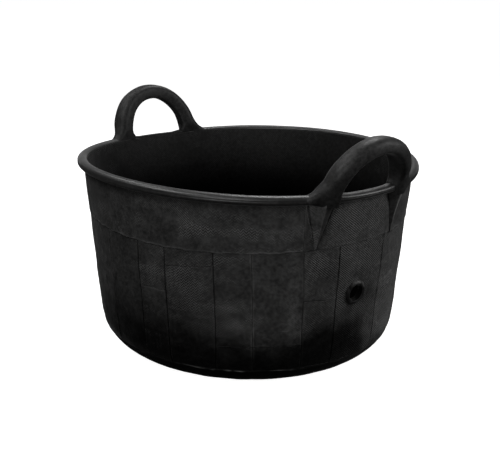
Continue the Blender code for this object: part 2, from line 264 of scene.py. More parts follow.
def rubber(name, seed=0, dark=0.0045, dust=0.034, dusty=0.5, twill=0.0, rough=0.52,
           spread=0.16, grain=0.5, pitch=0.0025, spec=0.32, tint=(1.0, 0.995, 0.985), edge=False,
           scuff=0.0, shaded=False, chevron=0.0, lump=0.35, haze=1.0, sheen=0.13, woven=False):
    b = Build(name)
    off = b.node("ShaderNodeMapping")
    b.put(off.inputs["Vector"], b.tc.outputs["Object"])
    off.inputs["Location"].default_value = (seed * 0.173, seed * -0.291, seed * 0.117)
    v = off.outputs["Vector"]
    big = b.noise(11.0, 5.0, 0.6, v)
    mid = b.noise(62.0, 6.0, 0.66, v, 0.3)
    fine = b.noise(330.0, 4.0, 0.6, v)
    speck = b.noise(190.0, 5.0, 0.75, v)
    cloud = b.math("MULTIPLY_ADD", mid, 0.35, b.math("MULTIPLY", big, 0.32))
    cloud = b.math("MULTIPLY_ADD", speck, 0.75, cloud)
    f = b.ramp(cloud, 0.71 - 0.12 * haze, 0.71 + 0.12 * haze, smooth=False)
    f = b.math("MULTIPLY", f, dusty)
    height = b.math("MULTIPLY", fine, grain)
    if twill > 0 or edge:
        at = b.node("ShaderNodeAttribute", attribute_name="uvw")
        sep = b.node("ShaderNodeSeparateXYZ")
        b.put(sep.inputs[0], at.outputs["Vector"])
        x, y, lit = sep.outputs
    if twill > 0:
        wob = b.math("MULTIPLY", b.math("SUBTRACT", b.noise(26.0, 2.0, 0.5, v), 0.5), 9.0)
        waves_ = []
        rmap = b.node("ShaderNodeMapping")
        b.put(rmap.inputs["Vector"], at.outputs["Vector"])
        rmap.inputs["Scale"].default_value = (9.0, 55.0, 0.0)
        rmap.inputs["Location"].default_value = (seed * 0.7, seed * 1.3, 0.0)
        rowv = rmap.outputs["Vector"]
        for k, th in enumerate((7.0, 8.3)):
            if k == 0:
                lin = b.math("ADD", b.math("MULTIPLY", x, 0.64 * 2 * math.pi / pitch),
                             b.math("MULTIPLY", y, 0.77 * 2 * math.pi / pitch))
            else:
                # herringbone: rows of small chevrons
                chev = b.math("PINGPONG", x, 0.0036)
                lin = b.math("MULTIPLY", b.math("ADD", y, b.math("MULTIPLY", chev, 1.15)),
                             2 * math.pi / (pitch * 1.55))
            w = b.math("SINE", b.math("ADD", lin, wob))
            w = b.ramp(w, -0.15, 0.70)
            m = b.noise(th, 3.0, 0.55, off.outputs["Vector"] if k == 0 else None)
            m = b.ramp(m, 0.44 + 0.25 * chevron, 0.55 + 0.25 * chevron) if k == 0 else \
                b.ramp(m, 0.50 - 0.25 * chevron, 0.60 - 0.25 * chevron)
            waves_.append((w, m))
        (w0, m0), (w1, m1) = waves_
        # the second lay only shows where the first has none
        m1 = b.math("MULTIPLY", m1, b.math("SUBTRACT", 1.0, m0))
        rows = b.ramp(b.noise(1.0, 1.0, 0.5, rowv), 0.43, 0.55, 0.30, 1.25)
        m1 = b.math("MULTIPLY", m1, rows)
        patch = b.math("ADD", m0, m1)
        fade = b.ramp(b.noise(60.0, 4.0, 0.6, v), 0.36, 0.58, 0.3, 1.0)
        if woven:
            fade = b.math("MULTIPLY", fade, b.node("ShaderNodeAttribute", attribute_name="weave").outputs["Fac"])
        patch = b.math("MINIMUM", b.math("MULTIPLY", patch, fade), 1.0)
        tw = b.math("ADD", b.math("MULTIPLY", w0, m0), b.math("MULTIPLY", w1, m1))
        tw = b.math("MULTIPLY", b.math("MULTIPLY", tw, fade), b.ramp(speck, 0.40, 0.55, 0.65, 1.45))
        f = b.math("MULTIPLY", f, b.math("SUBTRACT", 1.0, b.math("MULTIPLY", patch, min(0.95, twill * 0.9))))
        f = b.math("ADD", f, b.math("MULTIPLY", tw, twill * 1.35))
        height = b.math("ADD", height, b.math("MULTIPLY", tw, 3.0 * twill))
    # edge: the lit channel adds painted highlights along edges and ridges, wear strokes and dark seam lines to the
    # dust mix
    if edge:
        f = b.math("ADD", f, b.math("MULTIPLY", lit, b.ramp(mid, 0.3, 0.6, 0.35, 1.0)))
    if scuff > 0:
        # light scratches that cross the surface in a few directions
        for k, rot in enumerate((0.55, -0.9)):
            mp = b.node("ShaderNodeMapping")
            b.put(mp.inputs["Vector"], b.node("ShaderNodeAttribute", attribute_name="uvw").outputs["Vector"])
            mp.inputs["Rotation"].default_value = (0, 0, rot)
            mp.inputs["Scale"].default_value = (14.0, 260.0, 0.0)
            mp.inputs["Location"].default_value = (3.1 * k + seed, 1.7 * seed, 0.0)
            sc = b.ramp(b.noise(1.0, 2.0, 0.5, mp.outputs["Vector"]), 0.69, 0.76)
            f = b.math("ADD", f, b.math("MULTIPLY", sc, b.ramp(big, 0.46, 0.6, 0.0, scuff)))
    if edge:
        f = b.math("MAXIMUM", f, 0.0)
    f = b.math("MINIMUM", f, 1.0)
    streak = b.noise(5.0, 3.0, 0.5, v)
    low = tuple(dark * c for c in tint)
    high = tuple(dust * c for c in tint)
    col = b.mix(f, low, high)
    # the shade attribute scales colour and specular: it carries dust and painted shade and light
    if shaded:
        k = b.node("ShaderNodeAttribute", attribute_name="shade").outputs["Fac"]
        vm = b.node("ShaderNodeVectorMath", operation="SCALE")
        b.put(vm.inputs[0], col)
        b.put(vm.inputs["Scale"], k)
        col = vm.outputs[0]
        b.put(b.bsdf.inputs["Specular IOR Level"], b.math("MULTIPLY", b.math("MINIMUM", k, 1.0), spec))
    b.put(b.bsdf.inputs["Base Color"], col)
    r = b.ramp(b.math("MULTIPLY_ADD", mid, 0.5, b.math("MULTIPLY", streak, 0.5)), 0.32, 0.68,
               rough - spread * 0.5, rough + spread * 0.5)
    b.put(b.bsdf.inputs["Roughness"], r)
    if not shaded:
        b.bsdf.inputs["Specular IOR Level"].default_value = spec
    b.bsdf.inputs["Sheen Weight"].default_value = sheen
    b.bsdf.inputs["Sheen Roughness"].default_value = 0.30
    b.bsdf.inputs["Sheen Tint"].default_value = (1, 1, 1, 1)
    n = b.bump(height, 0.55, 0.00035)
    n = b.bump(mid, lump, 0.0009, n)
    b.put(b.bsdf.inputs["Normal"], n)
    return b.mat


def cord_rope(name):
    b = Build(name)
    n = b.noise(260.0, 3.0)
    b.put(b.bsdf.inputs["Base Color"], b.mix(n, (0.20, 0.17, 0.12), (0.42, 0.37, 0.28)))
    b.put(b.bsdf.inputs["Normal"], b.bump(n, 0.6, 0.0006))
    b.bsdf.inputs["Roughness"].default_value = 0.9
    return b.mat


def wire(name):
    b = Build(name)
    n = b.noise(140.0, 5.0)
    b.put(b.bsdf.inputs["Base Color"], b.mix(b.ramp(n, 0.5, 0.7), (0.32, 0.31, 0.30), (0.13, 0.07, 0.04)))
    b.put(b.bsdf.inputs["Roughness"], b.ramp(n, 0.4, 0.7, 0.35, 0.8))
    b.bsdf.inputs["Metallic"].default_value = 1.0
    return b.mat


# ---------------------------------------------------------------- the panels
COLS = [-93.0, -76.0, -64.7, -47.4, -35.2, -19.0, -7.4, 12.0, 31.0, 52.0, 74.0,
        96.0, 117.0, 138.0, 158.0, 177.0, 196.0, 214.0, 231.0, 249.0, 267.0]
SPLITS = {1: 0.140, 2: 0.181, 3: 0.069, 4: 0.0695, 5: 0.133, 9: 0.152, 13: 0.096, 17: 0.165}
BASE_TOP = 0.0313
S_TOP = float(s_of_z(H - 0.0035))


def band_low(t):
    return 0.2075 + 0.0042 * np.sin(2 * (t + math.radians(22.0)))


def seam_t(k, s):
    """Angle of wall seam k at profile length s: nearly straight, laid by hand."""
    k = k % 20
    rs = np.random.RandomState(100 + k)
    lean, ph1, ph2 = rs.uniform(-0.006, 0.006), rs.uniform(0, 6), rs.uniform(0, 6)
    u = (s - 0.12) / 0.1
    wob = 0.0022 * np.sin(u * 2.1 + ph1) + 0.0012 * np.sin(u * 5.3 + ph2)
    return lean * u + wob


def dust_and_painted_shade(t, z):
    """Colour multiplier for the outside: dust uneven round the tub, blacker low down (partly cleaner rubber, partly
    painted shade), with painted shade on the left side and painted light on the right.
    """
    az = (np.degrees(t) + 180) % 360 - 180
    mid = np.interp(az, (-180, -130, -92, -70, -59, -43, -29, -14, -4, 3, 9, 40, 90, 140, 180),
                    np.array((72, 92, 104, 114, 109, 86, 72, 96, 106, 94, 42, 26, 70, 92, 72)) / 1000)
    soft = np.interp(az, (-180, -90, -55, -40, 180), (0.046, 0.056, 0.052, 0.034, 0.040))
    P = np.stack([0.25 * np.cos(t), 0.25 * np.sin(t), z], -1)
    mid = mid + 0.012 * waves(P, 301, 0.05, 3)
    k = 0.11 + 0.89 * sst(z, mid - soft, mid + soft * 0.9)
    # painted shade on the left of the tub and painted light on its right, by azimuth
    side = np.interp(az, (-180, -110, -85, -60, -42, -20, 12, 30, 60, 110, 180),
                     (0.85, 0.52, 0.52, 0.60, 0.72, 0.80, 0.92, 1.15, 1.15, 1.0, 0.85))
    k = k * side
    for a, zc, wa, wz, g in ((-22.0, 0.120, 2.2, 0.055, 0.50), (-10.0, 0.172, 5.5, 0.018, -0.35),
                             (-1.0, 0.165, 3.0, 0.030, 0.25), (26.0, 0.135, 10.0, 0.080, 0.25),
                             (-41.0, 0.145, 5.0, 0.012, -0.22), (-41.0, 0.128, 4.0, 0.007, 0.50),
                             (-41.0, 0.100, 4.0, 0.009, 0.55), (-30.0, 0.232, 9.0, 0.012, 0.30),
                             (-55.0, 0.240, 9.0, 0.013, 0.25), (-66.0, 0.165, 5.0, 0.030, 0.20),
                             (0.5, 0.163, 4.5, 0.009, -0.35), (5.5, 0.128, 6.0, 0.018, -0.25),
                             (3.0, 0.080, 3.0, 0.020, -0.30), (24.0, 0.044, 12.0, 0.028, 0.60)):
        k = k * (1 + g * np.exp(-((az - a) / wa) ** 2 - ((z - zc) / wz) ** 2))
    return k * (1 + 0.12 * waves(P, 302, 0.03, 2))


def lay(t, z):
    """How strongly the cord weave shows, patch by patch."""
    az = (np.degrees(t) + 180) % 360 - 180
    P = np.stack([0.25 * np.cos(t), 0.25 * np.sin(t), z], -1)
    hid = 1 - sst(az, -105, -92) * (1 - sst(az, 34, 48))
    w = 0.28 + hid * (0.15 + 1.1 * np.clip(waves(P, 311, 0.05, 3), 0, 1))
    for a, zc, wa, wz, g in ((-41.0, 0.129, 6.0, 0.0065, 1.1), (-41.0, 0.099, 6.0, 0.010, 1.1),
                             (-72.0, 0.165, 6.0, 0.008, 1.0), (-58.0, 0.148, 4.0, 0.026, 0.9),
                             (-50.5, 0.100, 4.5, 0.026, 0.8), (-63.0, 0.248, 8.0, 0.018, 0.8),
                             (-48.0, 0.230, 9.0, 0.013, 0.9), (-38.0, 0.237, 4.5, 0.011, 0.7),
                             (-43.0, 0.200, 5.0, 0.008, 0.8), (-15.0, 0.182, 4.5, 0.011, 0.7),
                             (-14.0, 0.096, 4.5, 0.013, 0.7), (-5.2, 0.160, 2.6, 0.055, 1.15),
                             (5.5, 0.187, 4.5, 0.018, 1.0), (1.5, 0.076, 4.0, 0.034, 1.0),
                             (18.0, 0.100, 8.0, 0.032, 0.9), (15.0, 0.048, 12.0, 0.024, 1.1),
                             (-1.0, 0.245, 12.0, 0.018, 0.85), (-33.0, 0.110, 3.0, 0.030, 0.35)):
        w = w + 1.6 * g * np.exp(-((az - a) / wa) ** 2 - ((z - zc) / wz) ** 2)
    return np.clip(w * (1 + 0.35 * waves(P, 312, 0.022, 3)), 0.0, 1.6)


def split_s(i, t):
    z = SPLITS[i]
    rs = np.random.RandomState(300 + i)
    lean = {1: 0.020, 2: 0.10, 3: 0.0, 4: 0.0, 5: -0.08}.get(i, rs.uniform(-0.05, 0.05))
    tm = math.radians((COLS[i] + COLS[i + 1]) / 2)
    return s_of_z(z) + lean * (t - tm) * 0.25 + 0.0006 * np.sin(t * 60 + i)


def border(n_mid):
    """Returns n_mid unchanged."""
    return n_mid


def stations(size, step):
    e = [0.0, 0.00035, 0.0008, 0.0014, 0.0021, 0.0030, 0.0042]
    n = max(2, int(round((size - 2 * e[-1]) / step)))
    mid = np.linspace(e[-1], size - e[-1], n + 1)
    left = np.array(e[:-1])
    return np.concatenate([left, mid, size - left[::-1]]) / size


def edge_shape(e, lip, where=None):
    """Height near a ply edge: rounded down at the edge, a low lip just inside it."""
    down = -0.0008 * (1 - sst(e, 0.0, 0.0012))
    up = lip * np.exp(-((e - 0.0016) / 0.0009) ** 2)
    return down + up


# a few worn strokes: azimuth, height to azimuth, height, strength
STROKES = ((9.0, 0.136, 15.0, 0.1372, 0.45), (15.0, 0.1372, 22.0, 0.142, 0.7), (8.5, 0.1662, 16.5, 0.1638, 0.6),
           (-75.8, 0.1394, -65.0, 0.1409, 0.5), (98.0, 0.12, 109.0, 0.136, 0.5), (150.0, 0.17, 165.0, 0.158, 0.5))
# how each upright seam reads: (painted highlight on the pale lip, partly dust and wear; dark open gap)
SEAMS = {0: (0.2, 0.5), 1: (0.1, 1.0), 2: (0.15, 1.0), 3: (0.55, 0.9), 4: (1.15, 0.0), 5: (0.8, 0.5),
         6: (0.1, 1.1), 7: (0.25, 0.9)}


def panel(name, i, lo, hi, mat, pid, nodes, base=0.0):
    tl0, tr0 = math.radians(COLS[i]), math.radians(COLS[i + 1])
    W = (tr0 - tl0) * 0.245
    s_lo = (lambda t: split_s(i, t)) if lo == "split" else (lambda t: s_of_z(BASE_TOP) + 0 * t)
    s_hi = (lambda t: split_s(i, t)) if hi == "split" else (lambda t: s_of_z(band_low(t)))
    tm = (tl0 + tr0) / 2
    L = float(s_hi(np.array(tm)) - s_lo(np.array(tm)))
    U = stations(W, 0.0036)
    S = stations(L, 0.0036)
    UU, SS = np.meshgrid(U, S, indexing="ij")
    t0 = tl0 + (tr0 - tl0) * UU
    s = s_lo(t0) + (s_hi(t0) - s_lo(t0)) * SS
    tl = tl0 + seam_t(i, s)
    tr = tr0 + seam_t(i + 1, s)
    t = tl + (tr - tl) * UU
    rs = np.random.RandomState(500 + pid)
    P = np.stack([0.25 * t, s, np.full_like(s, pid * 0.37)], -1)
    el, er = UU * W, (1 - UU) * W
    eb, et = SS * L, (1 - SS) * L
    amps = rs.uniform(0.0002, 0.0006, 4)
    lr = [SEAMS.get(k % 20) for k in (i, i + 1)]
    glow = rs.uniform(0.0, 0.9, 4) ** 1.5
    gap = rs.uniform(0.0, 1.0, 4)
    for q, v in enumerate(lr):
        if v:
            glow[q], gap[q] = v
    along = np.clip(0.5 + 0.7 * waves(P, 40 + pid, 0.05, 2), 0, 1)
    lit = np.zeros_like(s)
    h = base + rs.uniform(-0.00015, 0.0003)
    h = h + 0.00055 * waves(P, 900 + pid, 0.075, 3)
    d = np.zeros_like(s)
    seamk = np.full_like(s, (1.0, 0.90, 1.08, 0.94, 1.04, 0.88, 1.06)[pid % 7])
    for e, a, g, o in ((el, amps[0], glow[0], gap[0]), (er, amps[1], glow[1], gap[1]),
                       (eb, amps[2], glow[2], gap[2]), (et, 0.0, 0.0, 0.3)):
        d = np.minimum(d, -(0.0003 + 0.0006 * o) * (1 - sst(e, 0.0, 0.0010)))
        seamk = seamk * (1 - 0.62 * o * np.exp(-(e / 0.0012) ** 2))
        # painted highlight along the raised lip just inside each edge, less a dark line in the open gap
        ln = along * np.exp(-((e - 0.0014) / 0.0008) ** 2)
        h = h + a * ln
        lit = np.maximum(lit, g * ln) - 0.9 * o * np.exp(-(e / 0.0009) ** 2)
    lit = np.where(lit > 0, lit * (1 - 0.6 * sst(s, 0.095, 0.16)), lit)
    h = h + d + 0.0010 * sst(s, 0.055, 0.10) * (1 - sst(s, 0.19, 0.235))
    F = skin_pt(t, s, h)
    B = skin_pt(t, s, -0.0026 + 0 * h)
    V, Q = closed_pair(F, B)
    uvw = np.stack([t * 0.25, s, lit], -1).reshape(-1, 3)
    for az0, z0, az1, z1, g in STROKES:
        ta, tb = math.radians(az0), math.radians(az1)
        if min(ta, tb) > tr0 or max(ta, tb) < tl0:
            continue
        ux, uy = (tb - ta) * 0.25, z1 - z0
        ll = math.hypot(ux, uy)
        px, py = (t - ta) * 0.25, F[..., 2] - z0
        al = (px * ux + py * uy) / ll
        ac = np.abs(px * uy - py * ux) / ll
        lit = lit + g * np.exp(-(ac / 0.0016) ** 2) * sst(al, -0.002, 0.006) * (1 - sst(al, ll - 0.006, ll + 0.002))
    uvw = np.stack([t * 0.25, s, lit], -1).reshape(-1, 3)
    sh = (dust_and_painted_shade(t, F[..., 2]) * seamk).ravel()
    wv = lay(t, F[..., 2]).ravel()
    ob = make(name, V, Q, mat, uvw=np.concatenate([uvw, uvw]), shade=np.concatenate([sh, sh]),
              weave=np.concatenate([wv, wv]))
    recalc(ob)
    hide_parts(*nodes)
    return ob


skin_mats = [rubber("ply_%d" % k, seed=k + 1, twill=tw, dusty=dy, dark=dk * 6.0, dust=0.150, rough=ro,
                    edge=True, scuff=sc, shaded=True, chevron=cv, woven=True)
             for k, (tw, dy, dk, ro, sc, cv) in enumerate((
                 (0.95, 0.45, 0.0045, 0.55, 0.3, 0.9), (1.00, 0.50, 0.0045, 0.60, 0.4, -0.6),
                 (0.40, 0.48, 0.0044, 0.50, 0.7, 0.2), (0.90, 0.42, 0.0042, 0.57, 0.3, -0.2)))]

pieces = []
pid = 0
panel_of = {}
for i in range(20):
    parts = [("lo", "split"), ("split", "hi")] if i in SPLITS else [("lo", "hi")]
    for lo, hi in parts:
        pid += 1
        nm = "wall_panel_%02d" % pid
        m = skin_mats[(2, 0, 0, 0, 2, 3, 1, 3, 3, 1, 0, 2, 1, 3, 0, 2, 1, 3, 0, 2)[i % 20]]
        ob = panel("ply_panel_%02d" % pid, i, lo, hi, m, pid, [nm])
        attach(ob, "tub")
        panel_of[nm] = ob
        pieces.append(ob)


def hole_axis():
    e = 0.004
    p = skin_pt(0.0, s_of_z(HOLE_Z), 0.0)
    up = skin_pt(0.0, s_of_z(HOLE_Z + e), 0.0) - skin_pt(0.0, s_of_z(HOLE_Z - e), 0.0)
    up /= np.linalg.norm(up)
    side = np.array([0.0, 1.0, 0.0])
    n = np.cross(side, up)
    return Vector(p), Vector(n), Vector(side), Vector(up)


HP, HN, HS, HU = hole_axis()


def punch(ob, radius):
    bm = bmesh.new()
    mt = Matrix.Translation(HP) @ HN.to_track_quat("Z", "Y").to_matrix().to_4x4()
    bmesh.ops.create_cone(bm, cap_ends=True, segments=48, radius1=radius, radius2=radius,
                          depth=0.05, matrix=mt)
    me = bpy.data.meshes.new("punch")
    bm.to_mesh(me)
    bm.free()
    c = bpy.data.objects.new("punch", me)
    scene.collection.objects.link(c)
    mod = ob.modifiers.new("hole", "BOOLEAN")
    mod.operation = "DIFFERENCE"
    mod.solver = "EXACT"
    mod.object = c
    dg = bpy.context.evaluated_depsgraph_get()
    new = bpy.data.meshes.new_from_object(ob.evaluated_get(dg))
    ob.modifiers.clear()
    ob.data = new
    bpy.data.objects.remove(c, do_unlink=True)


for k, ob in panel_of.items():
    lo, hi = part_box(k)
    if lo.x > 0 and lo.y < HP.y - 0.01 and hi.y > HP.y + 0.01:
        punch(ob, 0.0142)

# ---------------------------------------------------------------- upper band
BANDS = [(-112.0, -20.2), (-20.2, 70.0), (70.0, 160.0), (160.0, 248.0)]
band_mats = [rubber("band_ply_%d" % k, seed=20 + k, twill=tw, dusty=0.45, dark=0.0280,
                    dust=0.150, rough=0.54, edge=True, scuff=0.35, shaded=True, woven=True,
                    chevron=(0.35, -0.4, 0.5, 0.2)[k])
             for k, tw in enumerate((0.85, 0.80, 0.8, 0.8))]
for k, (a, b_) in enumerate(BANDS):
    tl0, tr0 = math.radians(a), math.radians(b_)
    W = (tr0 - tl0) * 0.25
    L = S_TOP - float(s_of_z(0.2075))
    UU, SS = np.meshgrid(stations(W, 0.0040), stations(L, 0.0036), indexing="ij")
    t = tl0 + (tr0 - tl0) * UU
    slo = s_of_z(band_low(t)) + 0.0005 * np.sin(t * 41 + k) + 0.0004 * np.sin(t * 97)
    s = slo + (S_TOP - slo) * SS
    t = t + 0.004 * np.sin(s * 30 + k) * (np.abs(UU - 0.5) * 2) ** 4
    P = np.stack([0.25 * t, s, np.full_like(s, k * 0.9)], -1)
    el, er = UU * W, (1 - UU) * W
    eb = SS * L
    h = 0.0009 + 0.0005 * waves(P, 60 + k, 0.09, 3)
    along = 0.6 + 0.4 * waves(P, 70 + k, 0.06, 2)
    lit = np.zeros_like(s)
    azd = (np.degrees(t) + 180) % 360 - 180
    # painted highlight on the band's edge lips; on the lower edge it is weak where shade falls (azimuth -18 to 2) and
    # strong elsewhere
    pale = np.interp(azd, (-40.0, -30.0, -21.0, -18.0, 2.0, 16.0, 60.0), (0.9, 1.25, 1.0, 0.12, 0.12, 1.3, 1.0))
    for e, amp, dn, g in ((el, 0.0003, 0.0005, 0.25), (er, 0.0003, 0.0005, 0.25), (eb, 0.0005, 0.0012, 0.85)):
        ln = along * np.exp(-((e - 0.0015) / 0.0010) ** 2) * (pale if e is eb else 1.0)
        h = h - dn * (1 - sst(e, 0.0, 0.0011)) + amp * ln
        lit = np.maximum(lit, g * ln)
    F = skin_pt(t, s, h)
    V, Q = closed_pair(F, skin_pt(t, s, -0.0026 + 0 * h))
    uvw = np.stack([t * 0.25, s, lit], -1).reshape(-1, 3)
    sh = dust_and_painted_shade(t, F[..., 2])
    # painted shadow cast by each left wedge onto the band just to its right
    for turn in (0.0, 180.0):
        az = (np.degrees(t) - turn + 180) % 360 - 180
        gusset_shadow_az = np.interp(F[..., 2], (0.2100, 0.230, 0.250, 0.268, 0.2785), (-16.0, -14.3, -12.7, -11.3, -10.8))
        sh = sh * (1 - 0.55 * np.exp(-((az - gusset_shadow_az - 0.4) / 1.1) ** 2) * sst(F[..., 2], 0.212, 0.225))
    # painted shade on the band just under the rim bead
    sh = (sh * (1 - 0.30 * sst(F[..., 2], 0.262, 0.272))).ravel()
    ob = make("band_ply_%d" % (k + 1), V, Q, band_mats[k], uvw=np.concatenate([uvw, uvw]),
              shade=np.concatenate([sh, sh]), weave=np.tile(lay(t, F[..., 2]).ravel(), 2))
    recalc(ob)
    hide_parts("upper_band_%d" % (k + 1))
    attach(ob, "tub")

# --------------------------------------------------------------- inner liner
NT = 300
tt = np.linspace(0, 2 * math.pi, NT, endpoint=False)
s_in = np.concatenate([np.linspace(-RCX + 0.004, 0.0, 34)[:-1], np.linspace(0, L_ARC, 20)[:-1],
                       np.linspace(L_ARC, S_TOP, 58)])
TT, SS = np.meshgrid(tt, s_in, indexing="ij")
P = skin_pt(TT, SS, -0.0055)
patch = np.zeros_like(SS)
rs = np.random.RandomState(7)
for k in range(14):     # laid patches that show faintly on the inside
    tc_, wd = rs.uniform(0, 2 * math.pi), rs.uniform(0.14, 0.3)
    s0, s1 = rs.uniform(0.03, 0.10), rs.uniform(0.16, 0.27)
    dt = np.abs((TT - tc_ + math.pi) % (2 * math.pi) - math.pi)
    patch += 0.0005 * (1 - sst(dt, wd, wd + 0.006)) * sst(SS, s0, s0 + 0.0015) * (1 - sst(SS, s1, s1 + 0.0015))
hin = patch + 0.0006 * waves(P, 5, 0.12, 3)
F = skin_pt(TT, SS, -0.0055 - hin)
B = skin_pt(TT, SS, -0.0029 + 0 * hin)
nv = len(s_in)
n = NT * nv
V = np.concatenate([F.reshape(-1, 3), B.reshape(-1, 3), [[0, 0, 0.0055]], [[0, 0, 0.0029]]])
Q = [grid_quads(NT, nv, wrap_u=True), grid_quads(NT, nv, wrap_u=True, off=n)[:, ::-1]]
i0 = np.arange(NT) * nv
i1 = np.roll(i0, -1)
Q.append(np.stack([i0 + nv - 1, i0 + nv - 1 + n, i1 + nv - 1 + n, i1 + nv - 1], -1))
tris = np.concatenate([np.stack([np.full(NT, 2 * n), i1, i0], -1),
                       np.stack([np.full(NT, 2 * n + 1), i0 + n, i1 + n], -1)])
uvw = np.stack([TT * 0.25, SS, 0 * SS], -1).reshape(-1, 3)
uvw = np.concatenate([uvw, uvw, [[0, 0, 0]], [[0, 0, 0]]])
liner_mat = rubber("inner_ply", seed=31, twill=0.45, dusty=0.45, dark=0.0055, dust=0.027, rough=0.6, spec=0.16,
                   shaded=True)
# painted shade: the liner darkens with depth inside the tub
liner_painted_depth_shade = 0.07 + 1.18 * sst(np.asarray(V)[:, 2], 0.165, 0.284)
liner = make("inner_ply", V, np.concatenate(Q), liner_mat, tris=tris, uvw=uvw, shade=liner_painted_depth_shade)
recalc(liner)
punch(liner, 0.0142)
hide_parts("inner_liner")
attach(liner, "tub")

# ---------------------------------------------------------------- floor disc
rr = np.array([0.0, 0.02, 0.05, 0.08, 0.11, 0.135, 0.148, 0.153, 0.1555, 0.157, 0.158, 0.158, 0.1575])
zz = np.array([8.2, 8.2, 8.3, 8.2, 8.3, 8.2, 8.3, 8.2, 8.0, 7.5, 6.9, 6.2, 5.9]) / 1000
NF = 160
tf = np.linspace(0, 2 * math.pi, NF, endpoint=False)
TT, RR = np.meshgrid(tf, rr[1:], indexing="ij")
ZZ = np.broadcast_to(zz[1:], RR.shape)
P = warp(TT, RR, ZZ)
P[..., 2] += 0.0002 * waves(P, 77, 0.06, 3) * (RR < 0.155)
Bk = warp(TT, RR, 0.0058 + 0 * RR)
nv = RR.shape[1]
n = NF * nv
V = np.concatenate([P.reshape(-1, 3), [[0, 0, 0.0082]], [[0, 0, 0.0058]]])
i0 = np.arange(NF) * nv
i1 = np.roll(i0, -1)
tris = np.concatenate([np.stack([np.full(NF, n), i1, i0], -1),
                       np.stack([np.full(NF, n + 1), i0 + nv - 1, i1 + nv - 1], -1)])
disc = make("floor_ply", V, grid_quads(NF, nv, wrap_u=True),
            rubber("floor_ply", seed=33, twill=0.0, dusty=0.7, dark=0.005, dust=0.035, rough=0.7),
            tris=tris)
recalc(disc)
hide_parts("floor_disc")
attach(disc, "tub")

# ------------------------------------------------------------------ base cap
S_CAP = float(s_of_z(BASE_TOP))
NB = 300
tb = np.linspace(0, 2 * math.pi, NB, endpoint=False)
e = np.array([0.0, 0.0004, 0.0009, 0.0015, 0.0022, 0.0032, 0.0045])
s_cap = np.concatenate([np.linspace(-RCX + 0.006, 0, 40)[:-1], np.linspace(0, S_CAP - e[-1], 12)[:-1],
                        (S_CAP - e[::-1])])
TT, SS = np.meshgrid(tb, s_cap, indexing="ij")
P = skin_pt(TT, SS, 0.0)
edge = S_CAP - SS
h = 0.0003 * waves(P, 9, 0.05, 3) * sst(SS, 0.0, 0.02)
h = h - 0.0008 * (1 - sst(edge, 0.0, 0.0012)) + 0.0006 * np.exp(-((edge - 0.0017) / 0.0010) ** 2)
# the underside rests on a broad flat ring; its middle is pressed up a little
rad = RCX + SS
mid_ = 0.0011 * (1 - sst(rad, 0.118, 0.126)) + 0.0009 * (1 - sst(rad, 0.050, 0.054))
ribs = 0.0005 * (np.abs(np.sin(TT * 9)) < 0.05) * (1 - sst(rad, 0.112, 0.118))
h = h - np.where(SS < 0, mid_ + ribs, 0.0)
wobt = 0.0007 * np.sin(TT * 23) + 0.0006 * np.sin(TT * 11 + 1)
SSw = SS + np.where(SS > 0.02, wobt * sst(SS, 0.02, S_CAP), 0)
F = skin_pt(TT, SSw, h)
Bk = skin_pt(TT, SSw, -0.0026 + 0 * h)
F[..., 2] = np.maximum(F[..., 2], 0.0)
nv = len(s_cap)
n = NB * nv
V = np.concatenate([F.reshape(-1, 3), Bk.reshape(-1, 3), [[0, 0, 0.0020]], [[0, 0, 0.0026]]])
Q = [grid_quads(NB, nv, wrap_u=True), grid_quads(NB, nv, wrap_u=True, off=n)[:, ::-1]]
i0 = np.arange(NB) * nv
i1 = np.roll(i0, -1)
Q.append(np.stack([i0 + nv - 1, i0 + nv - 1 + n, i1 + nv - 1 + n, i1 + nv - 1], -1))
tris = np.concatenate([np.stack([np.full(NB, 2 * n), i1, i0], -1),
                       np.stack([np.full(NB, 2 * n + 1), i0 + n, i1 + n], -1)])
# painted highlight along the cap's top edge, strongest on the side facing the camera
daz = (np.degrees(TT) + 39.0 + 180) % 360 - 180
lit = 1.6 * np.exp(-((edge - 0.0015) / 0.0009) ** 2) * np.clip(-0.05 + 1.8 * waves(P, 19, 0.016, 2), 0, 1) \
    * (0.12 + 0.88 * np.exp(-(daz / 17.0) ** 2))
uvw = np.stack([TT * 0.25, SSw, lit], -1).reshape(-1, 3)
uvw = np.concatenate([uvw, uvw, [[0, 0, 0]], [[0, 0, 0]]])
# one side of the corner, round azimuth 25, is made paler, and the painted edge highlight is added on top
daz = (np.degrees(TT) - 25.0 + 180) % 360 - 180
base_patch_and_highlight = (1 + 13.0 * np.exp(-(daz / 16.0) ** 2) * sst(SSw, 0.004, 0.030)
        * np.clip(0.8 + 0.8 * waves(P, 29, 0.03, 3), 0.1, 1.6) + 8.0 * lit).ravel()
# the base ply's very dark colour continues the darkening low down, partly painted shade
cap = make("base_ply", V, np.concatenate(Q),
           rubber("base_ply", seed=35, twill=0.12, dusty=0.25, dark=0.0020, dust=0.016, rough=0.55, spec=0.06,
                  edge=True, sheen=0.03, shaded=True),
           tris=tris, uvw=uvw, shade=np.concatenate([base_patch_and_highlight, base_patch_and_highlight, [1.0, 1.0]]))
recalc(cap)
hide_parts("base_cap")
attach(cap, "tub")

# ------------------------------------------------------------------ rim bead
BEAD = np.array([(-5.6, -5.6), (-5.5, -3.4), (-4.1, -1.5), (-1.8, -0.3), (1.2, 0.25), (4.4, 0.0),
                 (7.2, -1.3), (8.9, -3.0), (9.4, -4.6), (9.3, -6.0), (9.6, -7.3),
                 (9.5, -8.9), (8.4, -10.9), (6.2, -12.5), (3.2, -13.1), (0.7, -12.4), (0.7, -5.6)])


def chaikin(p, times=2, ratio=0.25):
    for _ in range(times):
        q = np.roll(p, -1, 0)
        p = np.stack([p * (1 - ratio) + q * ratio, p * ratio + q * (1 - ratio)], 1).reshape(-1, 2)
    return p


